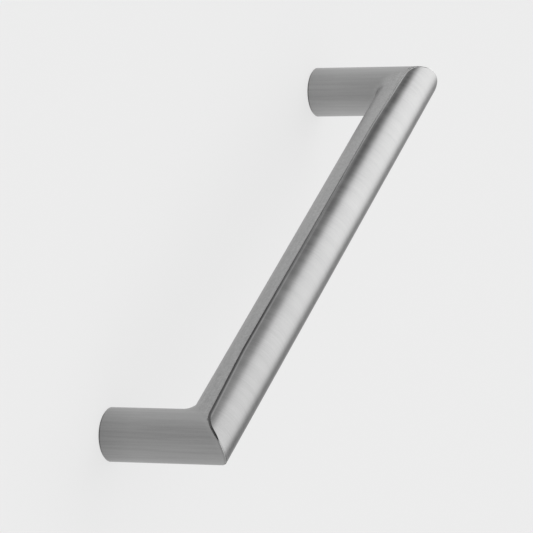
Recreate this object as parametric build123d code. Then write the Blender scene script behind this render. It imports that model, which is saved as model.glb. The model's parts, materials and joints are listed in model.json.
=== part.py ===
from build123d import *
import os
from math import radians, sqrt, tan

# A mitred cabinet pull, cast in one piece: a round grip that turns through sharp corners into two
# round legs. It stands on its feet: +Z points away from the mounting plane, X runs along the grip,
# and the origin lies on the mounting plane midway between the feet.

# Driving dimensions, in millimetres and degrees
rod_diameter = 14.0  # the round section that the grip and both legs share
hole_centres = 160.0  # from one fixing screw to the other
projection = 35.0  # from the mounting plane to the front of the grip
inner_corner_radius = 0.4  # innermost bend between grip and leg
foot_bevel = 0.4  # broken edge round each foot
screw_core_diameter = 3.3  # drilled core of the M4 thread
screw_core_depth = 20.0  # how deep the core keeps its full width
screw_mouth_diameter = 4.6  # countersink at the foot
screw_mouth_angle = 90.0  # included angle of the countersink
drill_point_angle = 118.0  # included angle at the bottom of the core
seam_width = 0.6  # fine groove between the polished front and the blended back
seam_depth = 0.3
seam_lift = 0.8  # groove above the grip's axis, along its level stretch
seam_corner_lift = 1.8  # groove above that axis where it meets the mitre
seam_climb_length = 28.0  # stretch before each leg's axis in which the groove climbs
seam_climb_radius = 28.0  # easing at the start of that climb
seam_turn_radius = 5.0  # turn of the groove into the mitre
seam_tip_inset = 1.2  # from the groove's pointed end up to the front of the grip

# Sizes worked out from those
rod_radius = rod_diameter / 2
leg_x = hole_centres / 2
axis_height = projection - rod_radius
bend_radius = rod_radius + inner_corner_radius


def side_view(points):
    """Points of the side view, (along the grip, up from the feet), as points in space."""
    return [Plane.XZ.from_local_coords((x, z)) for x, z in points]


def axis_points():
    """The corners of the rod's axis: up one leg, along the grip and down the other leg."""
    return side_view([(-leg_x, 0), (-leg_x, axis_height), (leg_x, axis_height), (leg_x, 0)])


def half_disc(radius, hand):
    """Half of the rod's section at the first foot: hand is -1 outside the axis and 1 inside it."""
    half = Pos(hand * radius / 2, 0) * Rectangle(radius, 2 * radius)
    return Pos(-leg_x, 0) * (Circle(radius) & half)


def corner_cheek(radius, hand):
    """The flat-sided core of one corner, between the axis's sharp outer and round inner bend."""
    corner = Vector(hand * leg_x, axis_height)
    to_foot, to_grip = Vector(0, -bend_radius), Vector(-hand * bend_radius, 0)
    middle = corner + (to_foot + to_grip) * (1 - sqrt(0.5))
    sharp = Polyline(corner + to_foot, corner, corner + to_grip)
    rounded = ThreePointArc(corner + to_grip, middle, corner + to_foot)
    return extrude(Plane.XZ * make_face(sharp + rounded), amount=radius, both=True)


def bent_rod(radius):
    """The rod from foot to foot: the outer half mitred at the corners, the inner half bent round."""
    sharp_axis = Polyline(*axis_points())
    round_axis = FilletPolyline(*axis_points(), radius=bend_radius)
    outer_half = sweep(half_disc(radius, -1), path=sharp_axis, transition=Transition.RIGHT)
    inner_half = sweep(half_disc(radius, 1), path=round_axis)
    cheeks = [corner_cheek(radius, hand) for hand in (-1, 1)]
    return (outer_half + inner_half + cheeks).clean()


def seam_line():
    """The groove in side view: level, then climbing to each corner and turning into its mitre."""
    turned = seam_corner_lift + seam_turn_radius * sqrt(0.5) / 2
    right = [
        (leg_x - seam_climb_length, axis_height + seam_lift),
        (leg_x + seam_corner_lift, axis_height + seam_corner_lift),
        (leg_x + turned, axis_height + turned),
    ]
    left = [(-x, z) for x, z in reversed(right)]
    radii = [seam_turn_radius, seam_climb_radius, seam_climb_radius, seam_turn_radius]
    return FilletPolyline(*left, *right, radius=radii)


def seam_tip(line, end, hand):
    """The pointed end of the groove, which dies out on the mitre's edge below the front."""
    across = (line % end).rotate(Axis.Z, 90) * (seam_width / 2)
    reach = rod_radius - seam_tip_inset
    point = Vector(hand * (leg_x + reach), axis_height + reach)
    base = line @ end
    return make_face(Polyline(base + across, point, base - across, close=True))


def seam_groove():
    """Both sides' grooves as solids: the line's band through the rod, less the metal under it."""
    line = seam_line()
    band = trace(line, seam_width) + seam_tip(line, 0, -1) + seam_tip(line, 1, 1)
    through = extrude(Plane.XZ * band, amount=rod_diameter, both=True)
    return through - bent_rod(rod_radius - seam_depth)


def screw_hole(hand):
    """One tapped blind hole as a solid: countersink, core and drill point, up from its foot."""
    mouth, core = screw_mouth_diameter / 2, screw_core_diameter / 2
    mouth_depth = (mouth - core) / tan(radians(screw_mouth_angle / 2))
    point_depth = core / tan(radians(drill_point_angle / 2))
    outline = [
        (0, 0),
        (mouth, 0),
        (core, mouth_depth),
        (core, screw_core_depth),
        (0, screw_core_depth + point_depth),
    ]
    half_section = make_face(Polyline(*side_view(outline), close=True))
    return Pos(hand * leg_x, 0, 0) * revolve(half_section, axis=Axis.Z)


def handle():
    """The finished pull: bent rod, bevelled feet, seam grooves and a screw hole in each foot."""
    rod = bent_rod(rod_radius)
    foot_edges = rod.edges().group_by(Axis.Z)[0]
    rod = chamfer(foot_edges, foot_bevel)
    rod -= seam_groove()
    return rod - [screw_hole(hand) for hand in (-1, 1)]


os.makedirs("parts", exist_ok=True)
export_step(handle(), "parts/handle.step")
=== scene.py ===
# %% [markdown]
# # A mitred cabinet pull in satin metal
#
# The object is a cabinet pull, cast in one piece: a round grip that turns through two sharp corners
# into two short round legs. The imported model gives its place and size. This lesson models it again
# with a finer skin, a rounded mitre, the groove along its sides and real threads in its feet, and
# then gives it its brushed finish, the floor it stands on and the light.

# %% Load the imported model
import json
import math

import bmesh
import bpy
from mathutils import Matrix, Vector


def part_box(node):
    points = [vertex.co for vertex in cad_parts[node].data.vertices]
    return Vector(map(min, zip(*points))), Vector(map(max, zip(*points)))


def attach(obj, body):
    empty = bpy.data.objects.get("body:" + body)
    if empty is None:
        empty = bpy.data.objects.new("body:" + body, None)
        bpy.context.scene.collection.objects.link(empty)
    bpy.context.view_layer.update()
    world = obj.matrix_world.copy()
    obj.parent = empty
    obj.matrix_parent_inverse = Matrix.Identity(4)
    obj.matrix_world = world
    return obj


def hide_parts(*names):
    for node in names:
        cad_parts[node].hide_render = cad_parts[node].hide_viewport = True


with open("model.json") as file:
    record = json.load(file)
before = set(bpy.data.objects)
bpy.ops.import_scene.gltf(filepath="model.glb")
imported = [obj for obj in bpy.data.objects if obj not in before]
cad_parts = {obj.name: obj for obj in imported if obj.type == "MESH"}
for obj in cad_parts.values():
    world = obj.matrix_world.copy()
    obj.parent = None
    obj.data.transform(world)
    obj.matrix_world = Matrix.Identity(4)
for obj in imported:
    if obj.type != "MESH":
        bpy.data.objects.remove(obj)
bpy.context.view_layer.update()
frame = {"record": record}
scene = bpy.context.scene
scene.view_settings.view_transform = "Standard"

# %% [markdown]
# ## Sizes
#
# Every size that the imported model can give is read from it, so that the finer piece lies exactly on
# the solid. The rest are the small forms that its box doesn't show: the bend inside the corner, the
# groove, the broken edge of a foot and the screw hole.

# %% Read the sizes
MM = 0.001
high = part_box("handle")[1]
ROD_RADIUS = high.y
LEG_X = high.x - ROD_RADIUS
AXIS_HEIGHT = high.z - ROD_RADIUS
INNER_BEND = 0.4 * MM
BEND_RADIUS = ROD_RADIUS + INNER_BEND
BEND_START = AXIS_HEIGHT - BEND_RADIUS
FOOT_BEVEL = 0.4 * MM
MITRE_ROUND = 0.12 * MM
print(f"rod radius {ROD_RADIUS / MM:.1f}, legs at {LEG_X / MM:.1f}, axis at {AXIS_HEIGHT / MM:.1f} mm")

# %% [markdown]
# ## The camera
#
# The photograph looks down on the pull from about 54 degrees round and 24.5 degrees up, through a
# long lens, and the picture is turned on its side, so that up in the model is to the right in the
# picture. A camera that looks at one point is placed by those angles and a distance, then turned
# about its own line of sight.

# %% Place the camera
VIEW_ROUND = math.radians(54.222)
VIEW_UP = math.radians(24.502)
VIEW_ROLL = math.radians(90.365)
VIEW_DISTANCE = 0.97982
AIM = Vector((0.00315, 0.00213, 0.01462))

lens = bpy.data.cameras.new("camera")
lens.sensor_width = 36.0
lens.lens = 245.01
lens.clip_end = 50.0
camera = bpy.data.objects.new("camera", lens)
scene.collection.objects.link(camera)
level = Matrix.Rotation(VIEW_ROUND, 4, "Z") @ Matrix.Rotation(math.pi / 2 - VIEW_UP, 4, "X")
towards_camera = level.to_3x3() @ Vector((0, 0, 1))
camera.matrix_world = (
    Matrix.Translation(AIM + towards_camera * VIEW_DISTANCE)
    @ level
    @ Matrix.Rotation(VIEW_ROLL, 4, "Z")
)
scene.camera = camera
print("camera at", [round(value, 4) for value in camera.matrix_world.translation])

# %% [markdown]
# ## Small helpers for modelling
#
# A bmesh operator hands back a mixed list of what it made. These helpers pick one kind out of it,
# push a ring of edges along to draw out the next length of rod, and turn a finished mesh into an
# object. Where verts or edges are gathered, a dictionary keeps each of them once and in order, which
# a set wouldn't.

# %% Helpers for modelling
WELD = 1e-6


def only(made, kind):
    """The verts, edges or faces among what an operator made."""
    return [element for element in made if isinstance(element, kind)]


def middle(element):
    """The mean of an edge's or a face's corners."""
    return sum((vert.co for vert in element.verts), Vector()) / len(element.verts)


def push(shape, edges, reach, parts=1):
    """Extrudes edges by a vector, in equal parts, and returns the last edges made."""
    for _ in range(parts):
        made = bmesh.ops.extrude_edge_only(shape, edges=edges)["geom"]
        bmesh.ops.translate(shape, verts=only(made, bmesh.types.BMVert), vec=reach / parts)
        edges = only(made, bmesh.types.BMEdge)
    return edges


def in_order(elements):
    """Each element once, in the order in which they come."""
    return list(dict.fromkeys(elements))


def with_borders(faces):
    """Faces together with their edges and verts, as bisect_plane and mirror want them."""
    edges = in_order(edge for face in faces for edge in face.edges)
    verts = in_order(vert for face in faces for vert in face.verts)
    return [*faces, *edges, *verts]


def weld(shape):
    """Merges verts that lie on each other and turns every face outwards."""
    bmesh.ops.remove_doubles(shape, verts=shape.verts[:], dist=WELD)
    bmesh.ops.recalc_face_normals(shape, faces=shape.faces[:])


def make_object(name, shape):
    """A new object in the scene from a finished bmesh."""
    mesh = bpy.data.meshes.new(name)
    shape.to_mesh(mesh)
    shape.free()
    made = bpy.data.objects.new(name, mesh)
    scene.collection.objects.link(made)
    return made


# %% [markdown]
# ## The leg
#
# A real leg is a length of round bar with its edge broken at the foot. A capped circle at the foot is
# drawn out twice: once outwards and up for the broken edge, then straight up to where the corner
# begins. The bent rod is made on the right hand first, and mirrored at the end.

# %% Draw a leg up from its foot
ROD_SEGMENTS = 128
LEG_PARTS = 5


def draw_leg(shape, radius, bevel, foot_height):
    """One leg of the rod, from its foot up to the corner; returns its top ring."""
    at_foot = Matrix.Translation((LEG_X, 0, foot_height))
    bmesh.ops.create_circle(
        shape, segments=ROD_SEGMENTS, radius=radius - bevel, cap_ends=True, matrix=at_foot
    )
    ring = shape.edges[:]
    if bevel:
        made = bmesh.ops.extrude_edge_only(shape, edges=ring)["geom"]
        verts = only(made, bmesh.types.BMVert)
        grow = radius / (radius - bevel)
        bmesh.ops.scale(shape, verts=verts, vec=(grow, grow, 1), space=at_foot.inverted())
        bmesh.ops.translate(shape, verts=verts, vec=(0, 0, bevel))
        ring = only(made, bmesh.types.BMEdge)
    return push(shape, ring, Vector((0, 0, BEND_START - bevel - foot_height)), LEG_PARTS)


# %% [markdown]
# ## The outside of the corner
#
# Outside, the corner is a true mitre: two half rounds that meet in a flat cut at 45 degrees. The
# outer half of the leg is pushed up past the corner, sliced by the mitre's plane, and mirrored across
# that same plane, which gives the start of the grip. Slicing and mirroring make the two sides meet
# exactly, which two separate bars would not.

# %% Mitre the outer half
CORNER = Vector((LEG_X, 0, AXIS_HEIGHT))
MITRE_WAY = Vector((-1, 0, 1))


def mitre_outer_half(shape, ring, radius):
    """Carries the ring's outer half up to the mitre and mirrors it into the grip."""
    below = set(shape.faces)
    outer = [edge for edge in ring if middle(edge).x > LEG_X]
    push(shape, outer, Vector((0, 0, BEND_RADIUS + 2 * radius)))
    wall = with_borders([face for face in shape.faces if face not in below])
    bmesh.ops.bisect_plane(
        shape, geom=wall, plane_co=CORNER, plane_no=MITRE_WAY, clear_outer=True
    )
    wall = with_borders([face for face in shape.faces if face not in below])
    across = Matrix.Translation(CORNER) @ Matrix.Rotation(math.radians(45), 4, "Y")
    bmesh.ops.mirror(shape, geom=wall, matrix=across.inverted(), merge_dist=WELD, axis="X")


# %% [markdown]
# ## The inside of the corner
#
# Inside, the corner is blended, as a foundry blends it so that the metal flows and a finger finds no
# edge. The inner half of the ring is spun a quarter turn about the middle of that bend. Between the
# sharp outside and the round inside a flat cheek is left open on each side, and filling the hole
# closes it without a step.

# %% Spin the inner half and fill the cheeks
BEND_STEPS = 32


def bend_inner_half(shape, ring):
    """Spins the ring's inner half round the bend and fills the flat cheeks."""
    inner = [edge for edge in ring if middle(edge).x < LEG_X]
    verts = in_order(vert for edge in inner for vert in edge.verts)
    bmesh.ops.spin(
        shape,
        geom=verts + inner,
        cent=(LEG_X - BEND_RADIUS, 0, BEND_START),
        axis=(0, -1, 0),
        angle=math.pi / 2,
        steps=BEND_STEPS,
        use_merge=False,
        use_duplicate=False,
    )
    weld(shape)
    grip_start = LEG_X - BEND_RADIUS
    rims = [e for e in shape.edges if e.is_boundary and middle(e).x > grip_start + WELD]
    bmesh.ops.holes_fill(shape, edges=rims, sides=0)


# %% [markdown]
# ## The grip
#
# The open end of the corner is a full ring again. It is drawn along to the middle of the grip, in
# short lengths, so that the faces stay a useful shape. The mitre's edge is rounded by about a tenth
# of a millimetre, because no real edge is perfectly sharp and a rounded one catches the light. A mirror
# across the middle then makes the other half.

# %% Draw out the grip and mirror the half
GRIP_PARTS = 16
MITRE_STEPS = 3


def on_mitre(vert):
    """Whether a vert lies on the outer edge of the mitre."""
    out, up = vert.co.x - LEG_X, vert.co.z - AXIS_HEIGHT
    return abs(out - up) < WELD and up > -WELD


def draw_grip(shape, mitre_round):
    """Draws the corner's open ring to the middle, rounds the mitre and mirrors the half rod."""
    ring = [edge for edge in shape.edges if edge.is_boundary]
    push(shape, ring, Vector((BEND_RADIUS - LEG_X, 0, 0)), GRIP_PARTS)
    weld(shape)
    if mitre_round:
        bmesh.ops.bevel(
            shape,
            geom=[edge for edge in shape.edges if all(map(on_mitre, edge.verts))],
            offset=mitre_round,
            offset_type="OFFSET",
            segments=MITRE_STEPS,
            profile=0.5,
            affect="EDGES",
            material=-1,
        )
    bmesh.ops.mirror(
        shape, geom=with_borders(shape.faces[:]), matrix=Matrix(), merge_dist=WELD, axis="X"
    )
    weld(shape)


def make_rod(name, radius, bevel=0.0, foot_height=0.0, mitre_round=0.0):
    """The whole bent rod, closed at both feet."""
    shape = bmesh.new()
    ring = draw_leg(shape, radius, bevel, foot_height)
    mitre_outer_half(shape, ring, radius)
    bend_inner_half(shape, ring)
    draw_grip(shape, mitre_round)
    open_edges = sum(not edge.is_manifold for edge in shape.edges)
    print(f"{name}: {len(shape.faces)} faces, {open_edges} open edges")
    return make_object(name, shape)


pull = make_rod("mitred_pull", ROD_RADIUS, FOOT_BEVEL, 0.0, MITRE_ROUND)

# %% [markdown]
# ## The groove along the sides
#
# A fine groove parts the polished front from the blended back. It could be pressed into the skin
# face by face, but its walls would then follow the skin's mesh. Here a tool of the groove's own shape
# is cut out of the pull with a Boolean modifier, as a cutter would do it.

# %% Helpers for cutting
GROOVE_WIDTH = 0.6 * MM
GROOVE_DEPTH = 0.3 * MM


def settle(piece):
    """Applies a piece's modifiers to its mesh."""
    evaluated = piece.evaluated_get(bpy.context.evaluated_depsgraph_get())
    old = piece.data
    piece.data = bpy.data.meshes.new_from_object(evaluated)
    piece.modifiers.clear()
    bpy.data.meshes.remove(old)


def cut_out(piece, tool):
    """Cuts the tool's solid out of the piece's, and removes the tool."""
    cut = piece.modifiers.new("cut", "BOOLEAN")
    cut.operation = "DIFFERENCE"
    cut.solver = "EXACT"
    cut.object = tool
    settle(piece)
    mesh = tool.data
    bpy.data.objects.remove(tool)
    bpy.data.meshes.remove(mesh)


# %% [markdown]
# ## The groove's line
#
# Seen from the side, the groove runs level along the grip, climbs a little before each leg, turns
# into the mitre and dies out there in a point. Its line is a few straight edges, and bevelling the
# one vert between the climb and the mitre eases that turn.

# %% Draw the groove's line in side view
GROOVE_LIFT = 0.8 * MM
CORNER_LIFT = 1.8 * MM
CLIMB_LENGTH = 28 * MM
TURN_RADIUS = 8 * MM
TURN_STEPS = 8
TIP_INSET = 0.8 * MM
TIP_LENGTH = 1.3 * MM
CURTAIN_HALF = 2 * ROD_RADIUS

at_tip = ROD_RADIUS - TIP_INSET
before_tip = at_tip - TIP_LENGTH
side_line = [
    (0, GROOVE_LIFT),
    (LEG_X - CLIMB_LENGTH, GROOVE_LIFT),
    (LEG_X + CORNER_LIFT, CORNER_LIFT),
    (LEG_X + before_tip, before_tip),
    (LEG_X + at_tip, at_tip),
]
shape = bmesh.new()
line = [
    bmesh.ops.create_vert(shape, co=(x, -CURTAIN_HALF, AXIS_HEIGHT + up))["vert"][0]
    for x, up in side_line
]
for start, end in zip(line, line[1:]):
    shape.edges.new((start, end))
climb, mitred = line[2].co - line[1].co, line[3].co - line[2].co
bmesh.ops.bevel(
    shape,
    geom=[line[2]],
    offset=TURN_RADIUS * math.tan(climb.angle(mitred) / 2),
    offset_type="OFFSET",
    segments=TURN_STEPS,
    profile=0.5,
    affect="VERTICES",
    material=-1,
)
print("the groove turns through", round(math.degrees(climb.angle(mitred)), 1), "degrees")

# %% [markdown]
# ## The curtain
#
# Drawn out sideways and given a thickness, the line becomes a thin curtain that hangs through the
# whole pull. A slightly thinner rod is cut out of the curtain, and what is left of it is cut out of
# the pull, so the groove is equally deep all along.

# %% Make the curtain and cut the groove
push(shape, shape.edges[:], Vector((0, 2 * CURTAIN_HALF, 0)))
bmesh.ops.recalc_face_normals(shape, faces=shape.faces[:])
curtain = make_object("curtain", shape)
thick = curtain.modifiers.new("thick", "SOLIDIFY")
thick.thickness = GROOVE_WIDTH
thick.offset = 0
thick.use_even_offset = True
settle(curtain)

shape = bmesh.new()
shape.from_mesh(curtain.data)
for side in (-CURTAIN_HALF, CURTAIN_HALF):
    tip = Vector((LEG_X + at_tip, side, AXIS_HEIGHT + at_tip))
    ends = [vert for vert in shape.verts if (vert.co - tip).length < GROOVE_WIDTH]
    bmesh.ops.pointmerge(shape, verts=ends, merge_co=tip)
middle_faces = [face for face in shape.faces if all(abs(v.co.x) < WELD for v in face.verts)]
bmesh.ops.delete(shape, geom=middle_faces, context="FACES")
bmesh.ops.mirror(
    shape, geom=with_borders(shape.faces[:]), matrix=Matrix(), merge_dist=WELD, axis="X"
)
weld(shape)
shape.to_mesh(curtain.data)
shape.free()

CORE_FOOT = 2 * MM
core = make_rod("core", ROD_RADIUS - GROOVE_DEPTH, 0.0, CORE_FOOT)
cut_out(curtain, core)
cut_out(pull, curtain)
print("with the groove:", len(pull.data.polygons), "faces")

# %% [markdown]
# ## The screw holes
#
# Each foot has a blind hole for an M4 screw. A drill leaves a straight core with a pointed end, and a
# countersink opens its mouth. Both are turned shapes, so one full spin of their outline makes them
# together, and the tool is then cut out of the pull.

# %% Drill the holes
core_hole = next(m for m in frame["record"]["mounts"] if m["name"] == "left_thread")
CORE_RADIUS = core_hole["dims"]["r_mm"] * MM
CORE_DEPTH = 20 * MM
MOUTH_RADIUS = 2.3 * MM
DRILL_POINT = math.radians(118)
CLEAR = 1 * MM
DRILL_STEPS = 64


def draw_outline(shape, x, outline):
    """Joins points given as (radius, height) from a leg's axis into a line of edges."""
    verts = [bmesh.ops.create_vert(shape, co=(x + r, 0, z))["vert"][0] for r, z in outline]
    return verts + [shape.edges.new(pair) for pair in zip(verts, verts[1:])]


def make_drill(x):
    """Countersink, core and drill point as one turned solid."""
    outline = [
        (0, -CLEAR),
        (MOUTH_RADIUS + CLEAR, -CLEAR),
        (CORE_RADIUS, MOUTH_RADIUS - CORE_RADIUS),
        (CORE_RADIUS, CORE_DEPTH),
        (0, CORE_DEPTH + CORE_RADIUS / math.tan(DRILL_POINT / 2)),
    ]
    shape = bmesh.new()
    bmesh.ops.spin(
        shape,
        geom=draw_outline(shape, x, outline),
        cent=(x, 0, 0),
        axis=(0, 0, 1),
        angle=math.tau,
        steps=DRILL_STEPS,
        use_merge=True,
        use_duplicate=False,
    )
    weld(shape)
    return make_object("drill", shape)


for hand in (-1, 1):
    cut_out(pull, make_drill(hand * LEG_X))
print("drilled:", len(pull.data.polygons), "faces")

# %% [markdown]
# ## The threads
#
# A tap cuts the thread. It is a turned shape too, but it climbs by the pitch with every turn, so a
# spin that also moves along its axis makes it. The tap's inner edge stays just inside the drilled
# core, so the drill alone leaves the thread's flat crests.

# %% Cut the threads
PITCH = 0.7 * MM
THREAD_RADIUS = 2.0 * MM
THREAD_DEPTH = 16 * MM
THREAD_START = 0.2 * MM
TIP_CLEAR = 0.05 * MM
TAP_STEPS = 32
SPARE_TURNS = 2


def make_tap(x):
    """A tap: one pitch of thread, spun up the hole and cut off flat at both ends."""
    tip, crest = CORE_RADIUS - TIP_CLEAR, PITCH / 4
    root = PITCH / 8
    flank = (PITCH - crest - root) / 2
    outline = [
        (tip, 0),
        (tip, crest),
        (THREAD_RADIUS, crest + flank),
        (THREAD_RADIUS, crest + flank + root),
        (tip, PITCH),
    ]
    turns = math.ceil(THREAD_DEPTH / PITCH) + 2 * SPARE_TURNS
    shape = bmesh.new()
    bmesh.ops.spin(
        shape,
        geom=draw_outline(shape, x, [(r, z - SPARE_TURNS * PITCH) for r, z in outline]),
        cent=(x, 0, 0),
        axis=(0, 0, 1),
        dvec=(0, 0, PITCH / TAP_STEPS),
        angle=turns * math.tau,
        steps=turns * TAP_STEPS,
        use_merge=False,
        use_duplicate=False,
    )
    weld(shape)
    for height, way in ((THREAD_START, -1), (THREAD_DEPTH, 1)):
        bmesh.ops.bisect_plane(
            shape,
            geom=with_borders(shape.faces[:]),
            plane_co=(0, 0, height),
            plane_no=(0, 0, way),
            clear_outer=True,
        )
    bmesh.ops.holes_fill(shape, edges=[e for e in shape.edges if e.is_boundary], sides=0)
    weld(shape)
    return make_object("tap", shape)


for hand in (-1, 1):
    cut_out(pull, make_tap(hand * LEG_X))
print("tapped:", len(pull.data.polygons), "faces")

# %% [markdown]
# ## The skin's normals
#
# A brushed surface shows every dent in its shading. After the cuts, some faces of the skin are long
# and narrow, and normals averaged from them would ripple. The skin's true direction is known at each
# point, straight away from the rod's axis, so every corner of a skin face is given that direction.
# Behind the groove's turn the mitre is blended by hand, so there the direction eases over from leg to
# grip. The walls of the groove, the feet and the threads keep their own.

# %% Give the skin its true normals
SKIN_NEAR = 0.02 * MM
SKIN_TURN = math.radians(4)
SHARP_TURN = math.radians(35)
HAND_BLEND = 1 * MM
BLEND_TOP = 2.5 * MM
JUST_INSIDE = 1e-4


def from_axis(point):
    """The way from the rod's axis to a point of its skin, in legs, grip, bends and cheeks."""
    hand = math.copysign(1, point.x)
    out, up = hand * point.x - LEG_X, point.z - AXIS_HEIGHT
    if max(out, up) > 0:
        way = Vector((out, point.y, 0)) if up < out else Vector((0, point.y, up))
    elif up < -BEND_RADIUS:
        way = Vector((out, point.y, 0))
    elif out < -BEND_RADIUS:
        way = Vector((0, point.y, up))
    else:
        spoke = Vector((out + BEND_RADIUS, 0, up + BEND_RADIUS))
        way = spoke.normalized() * min(spoke.length - BEND_RADIUS, 0) + Vector((0, point.y, 0))
    way.x *= hand
    return way


def skin_normal(point):
    """The skin's direction at a point, eased over the mitre's plane behind the groove's turn."""
    way = from_axis(point)
    hand = math.copysign(1, point.x)
    out, up = hand * point.x - LEG_X, point.z - AXIS_HEIGHT
    if abs(up - out) < HAND_BLEND and max(out, up) > 0 and min(out, up) < BLEND_TOP:
        share = 0.5 + (up - out) / (2 * HAND_BLEND)
        way = Vector((hand * out * (1 - share), point.y, up * share))
    return way.normalized()


def on_skin(face):
    """Whether a face lies on the rod's skin."""
    way = from_axis(face.center)
    return abs(way.length - ROD_RADIUS) < SKIN_NEAR and way.angle(face.normal) < SKIN_TURN


mesh = pull.data
mesh.set_sharp_from_angle(angle=SHARP_TURN)
normals = [Vector(normal.vector) for normal in mesh.corner_normals]
at_vert = {}
skin_faces = [face for face in mesh.polygons if on_skin(face)]
for face in skin_faces:
    for corner in face.loop_indices:
        vert = mesh.vertices[mesh.loops[corner].vertex_index]
        just_inside = vert.co.lerp(face.center, JUST_INSIDE)
        normals[corner] = skin_normal(just_inside)
        at_vert.setdefault(vert.index, []).append(normals[corner])
for face in mesh.polygons:
    for corner in face.loop_indices:
        near = at_vert.get(mesh.loops[corner].vertex_index, [])
        best = min(near, key=lambda normal: normal.angle(face.normal), default=None)
        if best and best.angle(face.normal) < SHARP_TURN:
            normals[corner] = best
mesh.normals_split_custom_set(normals)
print("skin faces:", len(skin_faces), "of", len(mesh.polygons))

# %% [markdown]
# ## Which finish goes where
#
# One casting carries several finishes. The front of the grip is polished, the back and the legs are
# blended by hand, the groove is painted dark as painted shade, the feet are turned flat and the threads
# are bare cut metal. The rounded edge of the mitre is worn by hands and painted brighter, partly as a
# painted highlight. A painter would mask these by hand. Here each face gets its finish from where it
# lies, which follows every change of the sizes above.

# %% Sort the faces by finish
FINISHES = ["polished_front", "blended_back", "worn_edge_and_highlight", "groove_painted_shade", "turned_foot", "cut_thread"]
NEAR_MITRE = 0.4 * MM
EDGE_DEPTH = 0.1 * MM
FACING_DOWN = -0.9


def groove_height(across):
    """The groove's height above the grip's axis, at a distance from the pull's middle."""
    for (x0, up0), (x1, up1) in zip(side_line, side_line[1:]):
        if across <= x1:
            return up0 + (up1 - up0) * (across - x0) / (x1 - x0)
    return across - LEG_X


def finish_of(face):
    """The name of the finish that a face belongs to."""
    point = face.center
    out, up = abs(point.x) - LEG_X, point.z - AXIS_HEIGHT
    from_leg = math.hypot(out, point.y)
    if from_leg < THREAD_RADIUS + 2 * TIP_CLEAR or (from_leg < MOUTH_RADIUS and point.z < PITCH):
        if point.z < CORE_DEPTH + CORE_RADIUS:
            return "cut_thread"
    if point.z < FOOT_BEVEL and face.normal.z < FACING_DOWN:
        return "turned_foot"
    depth = ROD_RADIUS - from_axis(point).length
    if abs(out - up) < NEAR_MITRE and WELD < depth < EDGE_DEPTH:
        return "worn_edge_and_highlight" if up > before_tip else "blended_back"
    if not on_skin(face):
        return "groove_painted_shade" if point.z > BEND_START else "blended_back"
    return "polished_front" if up > max(out, groove_height(abs(point.x))) else "blended_back"


face_finish = [finish_of(face) for face in mesh.polygons]
for name in FINISHES:
    print(name, face_finish.count(name), "faces")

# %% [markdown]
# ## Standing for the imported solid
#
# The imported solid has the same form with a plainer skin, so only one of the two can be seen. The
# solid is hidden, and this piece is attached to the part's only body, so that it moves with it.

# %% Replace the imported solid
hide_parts("handle")
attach(pull, "root")
print(pull.name, "replaces the handle's solid")

# %% [markdown]
# ## Shader node helpers
#
# A finish is a small network of nodes. One helper adds a node and fills its sockets, each with a
# number or with another node's output, and one starts a node group with its named inputs and outputs.

# %% Helpers for nodes
def node(tree, kind, inputs=None, **settings):
    """A new node, with each named input set to a value or linked from a socket."""
    made = tree.nodes.new("ShaderNode" + kind)
    for name, value in settings.items():
        setattr(made, name, value)
    for key, value in (inputs or {}).items():
        if isinstance(value, bpy.types.NodeSocket):
            tree.links.new(value, made.inputs[key])
        else:
            made.inputs[key].default_value = value
    return made


def new_group(name, inputs, outputs):
    """A node group with named inputs and outputs; returns it with its inner sockets."""
    group = bpy.data.node_groups.new(name, "ShaderNodeTree")
    for socket, kind, value in inputs:
        made = group.interface.new_socket(socket, in_out="INPUT", socket_type="NodeSocket" + kind)
        made.default_value = value
    for socket, kind in outputs:
        group.interface.new_socket(socket, in_out="OUTPUT", socket_type="NodeSocket" + kind)
    given = group.nodes.new("NodeGroupInput").outputs
    result = group.nodes.new("NodeGroupOutput").inputs
    return group, given, result


def place(tree, group, inputs):
    """The first output of a group placed in a tree with its own values."""
    return node(tree, "Group", inputs, node_tree=group).outputs[0]


def scaled(tree, value, factor, added=0.0):
    """A socket times a factor, plus a number or another socket."""
    return node(tree, "Math", {0: value, 1: factor, 2: added}, operation="MULTIPLY_ADD").outputs[0]


# %% [markdown]
# ## Brushed lines
#
# A belt or a brush leaves fine lines side by side, much longer than they are wide. Noise stretched
# along one way gives that look at any distance. The group takes how many lines there are to a
# millimetre in each direction, so the same group draws lines along a leg or round the grip.

# %% The brushed lines group
lines_group, given, result = new_group(
    "brushed_lines", [("Lines per mm", "Vector", (1, 1, 1))], [("Lines", "Float")]
)
where = node(lines_group, "TexCoord").outputs["Object"]
stretched = node(
    lines_group, "VectorMath", {0: where, 1: given["Lines per mm"]}, operation="MULTIPLY"
)
streaks = node(
    lines_group,
    "TexNoise",
    {"Vector": stretched.outputs[0], "Scale": 1 / MM, "Detail": 3.0, "Roughness": 0.6},
)
centred = node(
    lines_group,
    "MapRange",
    {"Value": streaks.outputs[0], "From Min": 0.3, "From Max": 0.7, "To Min": -1.0, "To Max": 1.0},
)
lines_group.links.new(centred.outputs[0], result["Lines"])
print(lines_group.name, "has", len(lines_group.nodes), "nodes")

# %% [markdown]
# ## Grain and hand marks
#
# Under the lines the metal has a fine grain, and over them lie broad soft marks, where hands and
# polishing cloths have been. They are the same cloudy noise at different sizes, so one group makes
# them all.

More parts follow.
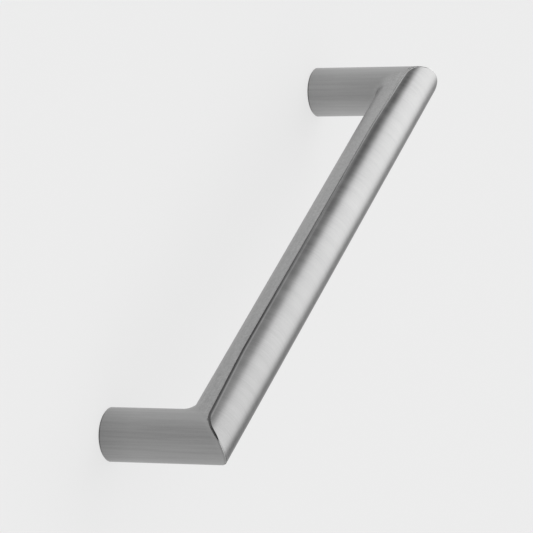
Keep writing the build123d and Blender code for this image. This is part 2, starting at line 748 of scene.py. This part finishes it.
# %% The clouds group
clouds_group, given, result = new_group("clouds", [("Size mm", "Float", 1.0)], [("Clouds", "Float")])
per_metre = node(clouds_group, "Math", {0: 1 / MM, 1: given["Size mm"]}, operation="DIVIDE")
cloudy = node(
    clouds_group,
    "TexNoise",
    {
        "Vector": node(clouds_group, "TexCoord").outputs["Object"],
        "Scale": per_metre.outputs[0],
        "Detail": 2.0,
    },
)
centred = node(
    clouds_group,
    "MapRange",
    {"Value": cloudy.outputs[0], "From Min": 0.3, "From Max": 0.7, "To Min": -1.0, "To Max": 1.0},
)
clouds_group.links.new(centred.outputs[0], result["Clouds"])
print(clouds_group.name, "has", len(clouds_group.nodes), "nodes")

# %% [markdown]
# ## Stripes along the groove
#
# Painted shade, a painted dark reflection and a painted highlight follow the groove, at some distance
# above or below it. The group works out how far a point lies above the groove's line, in side view,
# and fades out on both sides of a stripe at a given distance. The stripe follows the line's climb
# before each leg, and as much of its turn into the mitre as the mitre's share says.

# %% The groove stripe group
stripe_group, given, result = new_group(
    "groove_stripe",
    [("Centre mm", "Float", 0.0), ("Half mm", "Float", 1.0), ("Mitre share", "Float", 1.0)],
    [("Stripe", "Float")],
)
xyz = node(stripe_group, "SeparateXYZ", {0: node(stripe_group, "TexCoord").outputs["Object"]}).outputs
from_middle = node(stripe_group, "Math", {0: xyz["X"]}, operation="ABSOLUTE").outputs[0]
slope = (CORNER_LIFT - GROOVE_LIFT) / (CORNER_LIFT + CLIMB_LENGTH)
above = scaled(stripe_group, xyz["Z"], 1 / MM, -(AXIS_HEIGHT + GROOVE_LIFT) / MM)
for start, steeper, share in (
    (LEG_X - CLIMB_LENGTH, slope, 1.0),
    (LEG_X + CORNER_LIFT, 1 - slope, given["Mitre share"]),
):
    past = node(stripe_group, "Math", {0: from_middle, 1: start}, operation="SUBTRACT").outputs[0]
    eased = {0: past, 1: 0.0, 2: TURN_RADIUS / 2}
    past = node(stripe_group, "Math", eased, operation="SMOOTH_MAX").outputs[0]
    past = scaled(stripe_group, past, share)
    above = scaled(stripe_group, past, -steeper / MM, above)
away = node(stripe_group, "Math", {0: above, 1: given["Centre mm"]}, operation="SUBTRACT").outputs[0]
away = node(stripe_group, "Math", {0: away}, operation="ABSOLUTE").outputs[0]
faded = node(
    stripe_group,
    "MapRange",
    {"Value": away, "From Min": given["Half mm"], "From Max": 0.0},
    interpolation_type="SMOOTHSTEP",
)
stripe_group.links.new(faded.outputs[0], result["Stripe"])
print(stripe_group.name, "has", len(stripe_group.nodes), "nodes")

# %% [markdown]
# ## Changes along the grip
#
# The painted shade, the painted dark reflection and the painted highlight change slowly along the
# grip, stronger at one end than at the other. This group gives a share that grows from 0 to 1 between
# two places, given in metres from the middle and either way round.

# %% The along the grip group
grip_group, given, result = new_group(
    "along_grip", [("From", "Float", 0.0), ("To", "Float", 1.0)], [("Share", "Float")]
)
xyz = node(grip_group, "SeparateXYZ", {0: node(grip_group, "TexCoord").outputs["Object"]}).outputs
limits = {"Value": xyz["X"], "From Min": given["From"], "From Max": given["To"]}
grip_group.links.new(node(grip_group, "MapRange", limits).outputs[0], result["Share"])
print(grip_group.name, "has", len(grip_group.nodes), "nodes")


def groove_shade_share(tree):
    """How strong the groove's painted shade and its lip's painted highlight are, more at plus X."""
    return place(tree, grip_group, {"From": -LEG_X, "To": 0.5 * LEG_X})


def painted_dark_band_share(tree):
    """How strong the painted dark reflection beside the groove is, more of it at the other end."""
    return place(tree, grip_group, {"From": 0.85 * LEG_X, "To": -0.5 * LEG_X})


def painted_end_shade(tree):
    """A share towards the end at plus X, where the metal is painted darker as painted shade."""
    return place(tree, grip_group, {"From": -0.3 * LEG_X, "To": LEG_X})


# %% [markdown]
# ## One recipe for every metal
#
# Five of the six finishes are the same metal, worked in different ways, and the sixth is the same
# metal painted dark in the groove as painted shade. So one recipe makes them all. It starts from a
# grey and a roughness, and each effect in a list adds its own share to the grey, to the roughness and
# to a height in millimetres, which becomes a bump.

# %% Helper for a metal finish
def metal(name, grey, roughness, effects):
    """Makes a metal from effects, each one (function, share of grey, of roughness, of height)."""
    material = bpy.data.materials.new(name)
    material.use_nodes = True
    tree = material.node_tree
    tree.nodes.clear()
    levels = [grey, roughness, 0.0]
    for effect, *shares in effects:
        value = effect(tree)
        for which, share in enumerate(shares):
            if share:
                levels[which] = scaled(tree, value, share, levels[which])
    tone, rough, height = levels
    bump = node(tree, "Bump", {"Height": height, "Distance": MM, "Strength": 1.0})
    shader = node(
        tree,
        "BsdfPrincipled",
        {"Metallic": 1.0, "Base Color": tone, "Roughness": rough, "Normal": bump.outputs[0]},
    )
    node(tree, "OutputMaterial", {"Surface": shader.outputs[0]})
    print(name, "has", len(tree.nodes), "nodes")


def grain(tree):
    """Fine grain, a quarter of a millimetre across."""
    return place(tree, clouds_group, {"Size mm": 0.25})


def hand_marks(tree):
    """Broad soft marks, some centimetres across."""
    return place(tree, clouds_group, {"Size mm": 30.0})


# %% [markdown]
# ## The polished front
#
# The front of the grip is ground round the bar and then polished, so its faint lines run across it.
# Along the groove's edges the metal is painted darker as painted shade, most at one end, and towards
# the other end a broad dark band beside the groove is painted in as a painted dark reflection. Where
# that painted shade is strongest, the groove's upper lip is painted a little brighter as a painted
# highlight. The whole front is also painted a little darker towards the end at plus X, as painted shade.

# %% Make the polished front
FRONT_GREY = 0.27


def cross_lines(tree):
    """Lines that run round the grip."""
    return place(tree, lines_group, {"Lines per mm": (2.0, 0.12, 0.12)})


def cross_bands(tree):
    """Broader faint bands round the grip, as wide as the wheel's strokes."""
    return place(tree, lines_group, {"Lines per mm": (0.3, 0.04, 0.04)})


def painted_groove_edge_shade(tree):
    """Painted shade on the groove's two edges, strongest at the end at plus X."""
    stripe = place(tree, stripe_group, {"Centre mm": 0.0, "Half mm": 0.75})
    return scaled(tree, stripe, groove_shade_share(tree))


def painted_dark_band(tree):
    """A painted dark reflection: a dark band beside the groove, growing towards the end at minus X."""
    stripe = place(tree, stripe_group, {"Centre mm": 1.2, "Half mm": 1.9, "Mitre share": 0.0})
    return scaled(tree, stripe, painted_dark_band_share(tree))


def painted_lip_highlight(tree):
    """A painted highlight on the groove's upper edge."""
    stripe = place(tree, stripe_group, {"Centre mm": 0.55, "Half mm": 0.35, "Mitre share": 0.0})
    return scaled(tree, stripe, groove_shade_share(tree))


metal(
    "polished_front",
    FRONT_GREY,
    0.40,
    [
        (cross_lines, 0.016, 0.03, 0.0004),
        (cross_bands, 0.020, 0.02, 0.0),
        (grain, 0.010, 0.01, 0.0002),
        (hand_marks, 0.006, 0.02, 0.0),
        # Painted shade along the groove's edges.
        (painted_groove_edge_shade, -0.07, 0.05, 0.0),
        # A painted dark reflection beside the groove.
        (painted_dark_band, -0.15, 0.0, 0.0),
        # A painted highlight on the groove's lip.
        (painted_lip_highlight, 0.10, 0.0, 0.0),
        # Painted shade towards the end at plus X.
        (painted_end_shade, -0.03, 0.0, 0.0),
    ],
)

# %% [markdown]
# ## The blended back
#
# The legs and the back of the grip are belted by hand to hide the casting's parting line. The lines
# run along each bar and meet at the mitre's plane. Each leg is painted a little darker on two opposite
# sides, one of them facing the camera, as painted shade. The back of the grip is belted less, and a
# little of the casting's grain still shows there. Towards each foot the legs are painted darker as
# painted shade, and the foot's broken edge darker still.

# %% Make the blended back
BACK_GREY = 0.47
LINES_MEET = 2 * MM
LEG_SHADE_WAY = Vector((0.81, -0.59, 0.0))
FOOT_SHADE_UP_TO = 9 * MM


def over_mitre(tree):
    """A share that is 0 on a leg and 1 on the grip, and changes over at the mitre's plane."""
    xyz = node(tree, "SeparateXYZ", {0: node(tree, "TexCoord").outputs["Object"]}).outputs
    from_middle = node(tree, "Math", {0: xyz["X"]}, operation="ABSOLUTE").outputs[0]
    above = scaled(tree, from_middle, -1.0, xyz["Z"])
    level = AXIS_HEIGHT - LEG_X
    return node(
        tree,
        "MapRange",
        {"Value": above, "From Min": level - LINES_MEET, "From Max": level + LINES_MEET},
    ).outputs[0]


def cast_skin(tree):
    """The casting's own skin, which still shows a little on the back of the grip."""
    fine = place(tree, clouds_group, {"Size mm": 0.5})
    both = scaled(tree, place(tree, clouds_group, {"Size mm": 1.5}), 0.4, fine)
    return scaled(tree, both, over_mitre(tree))


def belt_lines(tree):
    """Lines along the leg and along the grip."""
    along_leg = place(tree, lines_group, {"Lines per mm": (1.3, 1.3, 0.03)})
    along_bar = place(tree, lines_group, {"Lines per mm": (0.03, 1.3, 1.3)})
    return node(tree, "Mix", {0: over_mitre(tree), 2: along_leg, 3: along_bar}).outputs[0]


def painted_leg_shade(tree):
    """Painted shade on two opposite sides of each leg, one of them facing the camera."""
    where = node(tree, "TexCoord").outputs["Object"]
    x = node(tree, "SeparateXYZ", {0: where}).outputs["X"]
    hand = node(tree, "Math", {0: x}, operation="SIGN").outputs[0]
    axis_x = node(tree, "CombineXYZ", {"X": scaled(tree, hand, LEG_X)})
    out = node(tree, "VectorMath", {0: where, 1: axis_x.outputs[0]}, operation="SUBTRACT")
    inputs = {0: out.outputs[0], 1: LEG_SHADE_WAY / ROD_RADIUS}
    facing = node(tree, "VectorMath", inputs, operation="DOT_PRODUCT").outputs["Value"]
    square = node(tree, "Math", {0: facing, 1: facing}, operation="MULTIPLY").outputs[0]
    on_leg = scaled(tree, over_mitre(tree), -1.0, 1.0)
    return node(tree, "Math", {0: square, 1: on_leg}, operation="MULTIPLY").outputs[0]


def painted_foot_shade(tree):
    """Painted shade on the stretch above each foot, darker towards the floor."""
    xyz = node(tree, "SeparateXYZ", {0: node(tree, "TexCoord").outputs["Object"]}).outputs
    return node(tree, "MapRange", {"Value": xyz["Z"], "From Min": FOOT_SHADE_UP_TO, "From Max": 0.0}).outputs[0]


def painted_foot_rim_shade(tree):
    """Painted shade on the broken edge of the foot."""
    xyz = node(tree, "SeparateXYZ", {0: node(tree, "TexCoord").outputs["Object"]}).outputs
    limits = {"Value": xyz["Z"], "From Min": 1.5 * FOOT_BEVEL, "From Max": 0.7 * FOOT_BEVEL}
    return node(tree, "MapRange", limits).outputs[0]


metal(
    "blended_back",
    BACK_GREY,
    0.45,
    [
        (belt_lines, 0.034, 0.03, 0.0006),
        # Painted shade on two sides of each leg.
        (painted_leg_shade, -0.12, 0.03, 0.0),
        (over_mitre, -0.05, 0.0, 0.0),
        # Painted shade towards the end at plus X.
        (painted_end_shade, -0.04, 0.0, 0.0),
        (cast_skin, 0.050, 0.02, 0.0),
        (grain, 0.012, 0.01, 0.0003),
        (hand_marks, 0.008, 0.02, 0.0),
        # Painted shade along the groove's edges.
        (painted_groove_edge_shade, -0.10, 0.05, 0.0),
        # Painted shade above each foot.
        (painted_foot_shade, -0.04, 0.0, 0.0),
        # Painted shade on the foot's broken edge.
        (painted_foot_rim_shade, -0.22, 0.1, 0.0),
    ],
)

# %% [markdown]
# ## The mitre's edge, the groove, the feet and the threads
#
# The edge is rubbed smooth by hands and painted brighter, partly as a painted highlight. The groove
# is painted dark and matt as painted shade, darker at one end than at the other. A foot is faced on a
# lathe, which leaves rings about the leg's axis, and a tap leaves the thread bare and bright.

# %% Make the small finishes
RING_PITCH = 0.15 * MM

# The mitre's edge: rubbed wear and a painted highlight, painted brighter than the front.
metal("worn_edge_and_highlight", 0.45, 0.30, [(grain, 0.02, 0.04, 0.0002), (hand_marks, 0.02, 0.02, 0.0)])
# The groove: painted shade, darker towards plus X.
metal("groove_painted_shade", 0.55, 0.6, [(groove_shade_share, -0.38, 0.1, 0.0), (grain, 0.01, 0.05, 0.002)])


def lathe_rings(tree):
    """Rings about each leg's axis, where the foot was faced."""
    xyz = node(tree, "SeparateXYZ", {0: node(tree, "TexCoord").outputs["Object"]}).outputs
    from_middle = node(tree, "Math", {0: xyz["X"]}, operation="ABSOLUTE").outputs[0]
    out = node(tree, "Math", {0: from_middle, 1: LEG_X}, operation="SUBTRACT").outputs[0]
    flat = node(tree, "CombineXYZ", {"X": out, "Y": xyz["Y"]})
    radius = node(tree, "VectorMath", {0: flat.outputs[0]}, operation="LENGTH").outputs["Value"]
    turns = scaled(tree, radius, math.tau / RING_PITCH)
    return node(tree, "Math", {0: turns}, operation="SINE").outputs[0]


metal("turned_foot", 0.34, 0.35, [(lathe_rings, 0.02, 0.02, 0.002), (grain, 0.02, 0.04, 0.0)])
metal("cut_thread", 0.42, 0.32, [(grain, 0.03, 0.06, 0.001), (hand_marks, 0.02, 0.02, 0.0)])

# %% [markdown]
# ## Each face takes its finish
#
# A mesh has numbered places for its materials, and each face holds one of those numbers. Clearing
# the places also sets every number to 0, so the numbers are written last.

# %% Put the finishes on the faces
mesh.materials.clear()
for name in FINISHES:
    mesh.materials.append(bpy.data.materials[name])
numbers = [FINISHES.index(name) for name in face_finish]
mesh.polygons.foreach_set("material_index", numbers)
mesh.update()
print("finishes:", [material.name for material in mesh.materials], "used:", sorted(set(numbers)))

# %% [markdown]
# ## The floor
#
# A wide sheet of pale paper. Paper is matt, so its shader is plain diffuse. The photograph's
# background is one even grey, and its shadow is hardly to be seen. So where the camera or a
# reflection looks at the paper, most of what it sees is the paper's own plain grey, and the rest is
# the real light on it, with the pull's shadow.

# %% Make the floor
PAPER_GREY = 0.85
SEEN_GREY = 0.822
SEEN_SHARE = 0.85
FLOOR_HALF = 30.0


def paper():
    """The floor's material: matt paper, evened out where the camera or a reflection sees it."""
    material = bpy.data.materials.new("paper")
    material.use_nodes = True
    tree = material.node_tree
    tree.nodes.clear()
    lit = node(tree, "BsdfDiffuse", {"Color": (PAPER_GREY, PAPER_GREY, PAPER_GREY, 1)})
    plain = node(tree, "Emission", {"Color": (SEEN_GREY, SEEN_GREY, SEEN_GREY, 1)})
    path = node(tree, "LightPath").outputs
    seen = node(tree, "Math", {0: path["Is Camera Ray"], 1: path["Is Glossy Ray"]}, operation="MAXIMUM")
    seen = node(tree, "Math", {0: seen.outputs[0], 1: path["Is Transmission Ray"]}, operation="MAXIMUM")
    share = scaled(tree, seen.outputs[0], SEEN_SHARE)
    both = node(tree, "MixShader", {0: share, 1: lit.outputs[0], 2: plain.outputs[0]})
    node(tree, "OutputMaterial", {"Surface": both.outputs[0]})
    return material


shape = bmesh.new()
bmesh.ops.create_grid(shape, x_segments=1, y_segments=1, size=FLOOR_HALF)
floor = make_object("floor", shape)
floor.data.materials.append(paper())
print("floor:", 2 * FLOOR_HALF, "m wide")

# %% [markdown]
# ## The light
#
# Metal shows what stands round it, so it is photographed in a tent of white cloth, lit from outside.
# The cloth glows evenly. One large softbox shines through it, behind the far leg and well up: its
# reflection is the broad light plateau along the front of the grip. Low down on two sides the cloth
# is darker, which deepens the shading beside the groove and along the plateau's other edge.
#
# A softbox or a dark stretch of cloth is an ellipse with a soft edge, laid on the world that stands
# round the scene. The group gets the way towards the patch's centre and its half sizes, as shares of
# its distance, and puts out how much of the patch is seen in each direction.

# %% The patch of tent group
patch_group, given, result = new_group(
    "patch_of_tent",
    [
        ("Towards", "Vector", (1, 0, 0)),
        ("Sideways", "Vector", (0, 1, 0)),
        ("Half width", "Float", 1.0),
        ("Half height", "Float", 1.0),
        ("Fade", "Float", 0.1),
    ],
    [("Patch", "Float")],
)
looking = node(patch_group, "TexCoord").outputs["Generated"]


def along(direction):
    """How far the way looked at goes along a direction."""
    inputs = {0: looking, 1: direction}
    return node(patch_group, "VectorMath", inputs, operation="DOT_PRODUCT").outputs["Value"]


def divided(value, divisor):
    """One socket of the group divided by another."""
    return node(patch_group, "Math", {0: value, 1: divisor}, operation="DIVIDE").outputs[0]


upwards = node(
    patch_group, "VectorMath", {0: given["Towards"], 1: given["Sideways"]}, operation="CROSS_PRODUCT"
)
ahead = node(patch_group, "Math", {0: along(given["Towards"]), 1: 0.001}, operation="MAXIMUM").outputs[0]
across = divided(divided(along(given["Sideways"]), ahead), given["Half width"])
height = divided(divided(along(upwards.outputs[0]), ahead), given["Half height"])
both = node(patch_group, "CombineXYZ", {"X": across, "Y": height})
from_centre = node(patch_group, "VectorMath", {0: both.outputs[0]}, operation="LENGTH").outputs["Value"]
outside = node(patch_group, "Math", {0: 1.0, 1: given["Fade"]}, operation="ADD").outputs[0]
inside = node(patch_group, "Math", {0: 1.0, 1: given["Fade"]}, operation="SUBTRACT").outputs[0]
patch = node(
    patch_group,
    "MapRange",
    {"Value": from_centre, "From Min": outside, "From Max": inside},
    interpolation_type="SMOOTHSTEP",
)
patch_group.links.new(patch.outputs[0], result["Patch"])
print(patch_group.name, "has", len(patch_group.nodes), "nodes")

# %% [markdown]
# ## The patches and the cloth
#
# Each patch is given by how far round and how far up it lies, in degrees, by its half width and half
# height, by how softly it fades and by what it adds to the cloth's even light.

# %% Light the tent
CLOTH = 0.92
PATCHES = {
    "softbox": (185, 32, 0.77, 0.38, 0.25, 2.5),
    "near side": (-125, 3, 1.5, 1.5, 0.3, -0.15),
    "far side": (117, 8, 0.84, 0.84, 0.3, -0.50),
}
world = bpy.data.worlds.new("tent")
scene.world = world
world.use_nodes = True
tree = world.node_tree
tree.nodes.clear()
light = CLOTH
for name, (round_z, up, half_width, half_height, fade, strength) in PATCHES.items():
    turn = Matrix.Rotation(math.radians(round_z), 3, "Z") @ Matrix.Rotation(-math.radians(up), 3, "Y")
    values = {
        "Towards": turn @ Vector((1, 0, 0)),
        "Sideways": turn @ Vector((0, 1, 0)),
        "Half width": half_width,
        "Half height": half_height,
        "Fade": fade,
    }
    light = scaled(tree, place(tree, patch_group, values), strength, light)
    print(name, "towards", [round(value, 2) for value in values["Towards"]])
tent = node(tree, "Background", {"Color": (1, 1, 1, 1), "Strength": light})
node(tree, "OutputWorld", {"Surface": tent.outputs[0]})
